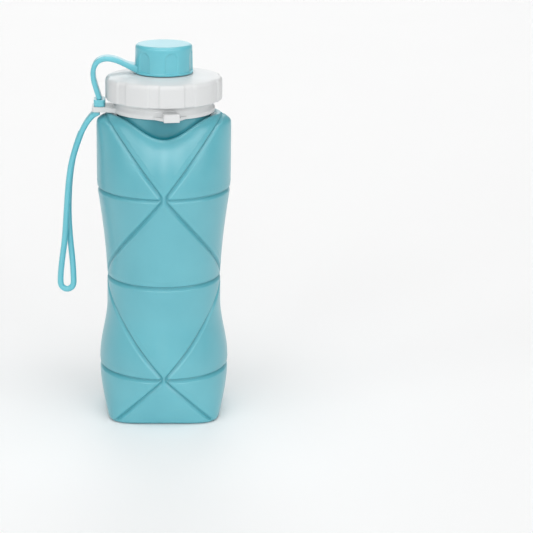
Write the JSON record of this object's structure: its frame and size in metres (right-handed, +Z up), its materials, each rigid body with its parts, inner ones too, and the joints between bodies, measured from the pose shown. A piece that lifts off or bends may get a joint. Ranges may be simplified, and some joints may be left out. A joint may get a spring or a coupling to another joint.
{
  "type": "folding water bottle",
  "caption": "Waisted soft water bottle with a crease pattern that folds flat, screw lid, capped spout, carrying loop and elastic storage strap.",
  "frame": {"origin": "centre of the flat bottom, on the surface the bottle stands on", "axes": "+Z up along the bottle's axis, -Y towards the front with the hook, -X towards the carrying loop"},
  "size_m": [0.1004, 0.0814, 0.2165],
  "materials": {
    "silicone_teal": "matte",
    "plastic_white": "satin",
    "gasket_clear": "matte",
    "webbing_white": "woven"
  },
  "bodies": {
    "bottle": {"silicone_body": "silicone_teal"},
    "neck": {"neck_insert": "plastic_white", "strap_collar": "plastic_white", "tether_stopper": "silicone_teal", "lanyard_tongue": "silicone_teal"},
    "lid_riser": {"cap_tether": "silicone_teal"},
    "lid": {"screw_lid": "plastic_white", "lid_gasket": "gasket_clear"},
    "cap": {"spout_cap": "silicone_teal"},
    "lanyard": {"lanyard_loop": "silicone_teal"},
    "storage_strap": {"strap_anchor_loop": "webbing_white", "strap_webbing": "webbing_white", "strap_end_loop": "webbing_white"}
  },
  "joints": [
    {"name": "collapse", "type": "slide", "parent": "bottle", "child": "neck", "axis": [0, 0, -1], "range_m": [0, 0.135], "stiffness_N_per_m": 150, "springref_m": -0.02, "deforming": ["silicone_body"]},
    {"name": "lid_rise", "type": "slide", "parent": "neck", "child": "lid_riser", "axis": [0, 0, 1], "range_m": [0, 0.0101]},
    {"name": "lid_turn", "type": "hinge", "parent": "lid_riser", "child": "lid", "pos_m": [0, 0, 0.193], "axis": [0, 0, 1], "range_deg": [0, 720]},
    {"name": "cap_pull", "type": "slide", "parent": "lid_riser", "child": "cap", "axis": [0, 0, 1], "range_m": [0, 0.022]},
    {"name": "lanyard_swing", "type": "hinge", "parent": "neck", "child": "lanyard", "pos_m": [-0.0468, 0, 0.1662], "axis": [0, 1, 0], "range_deg": [0, 75]},
    {"name": "strap_swing", "type": "hinge", "parent": "neck", "child": "storage_strap", "pos_m": [0, 0.03925, 0.17985], "axis": [1, 0, 0], "range_deg": [0, 80]}
  ],
  "couplings": [
    {"joint": "lid_rise", "follows": "lid_turn", "m_per_rad": 0.00079577},
    {"joint": "lanyard_swing", "follows": "collapse", "rad_per_m": 9.3},
    {"joint": "strap_swing", "follows": "collapse", "rad_per_m": 10}
  ]
}
